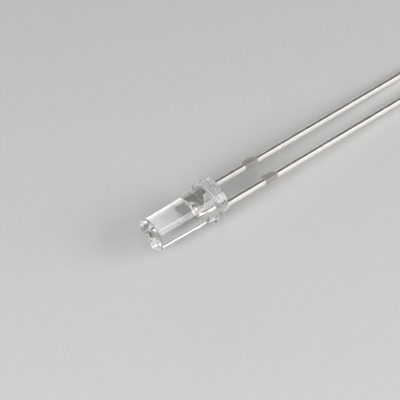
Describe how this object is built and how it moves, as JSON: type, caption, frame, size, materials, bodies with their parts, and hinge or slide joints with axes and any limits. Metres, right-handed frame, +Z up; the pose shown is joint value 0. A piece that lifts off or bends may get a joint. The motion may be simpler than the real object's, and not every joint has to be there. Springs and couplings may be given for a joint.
{
  "type": "through hole led",
  "caption": "Clear flat-top lamp: a drafted epoxy barrel with a rim at its base, moulded round a stamped leadframe with a reflector cup, a die and its wire, on two straight leads.",
  "frame": {"origin": "On the floor, under the middle of the lying lamp's bounding box.", "axes": "+Z is up from the floor that the lamp lies on, +X runs from the lens to the free ends of the leads, and the cathode lead is on the +Y side. The lamp's own axis is tilted from -X up towards the lens by its rest on the flange's back edge and the ends of both leads, and rolled a little about itself."},
  "size_m": [0.0338, 0.0038, 0.0038],
  "materials": {
    "clear_epoxy": "water-clear cast epoxy, polished by its mould, with a soft free surface on the back of the flange",
    "plated_leadframe": "bright plating over stamped steel sheet, dull grey where the tie bar was sheared off",
    "silver_glue": "silver-filled epoxy glue, satin",
    "semiconductor": "sawn semiconductor, dark and slightly glossy",
    "gold_wire": "bright drawn gold wire"
  },
  "bodies": {
    "root": {"lens": "clear_epoxy", "cathode_lead": "plated_leadframe", "anode_lead": "plated_leadframe", "die_attach": "silver_glue", "led_die": "semiconductor", "bond_wire": "gold_wire"}
  },
  "joints": []
}
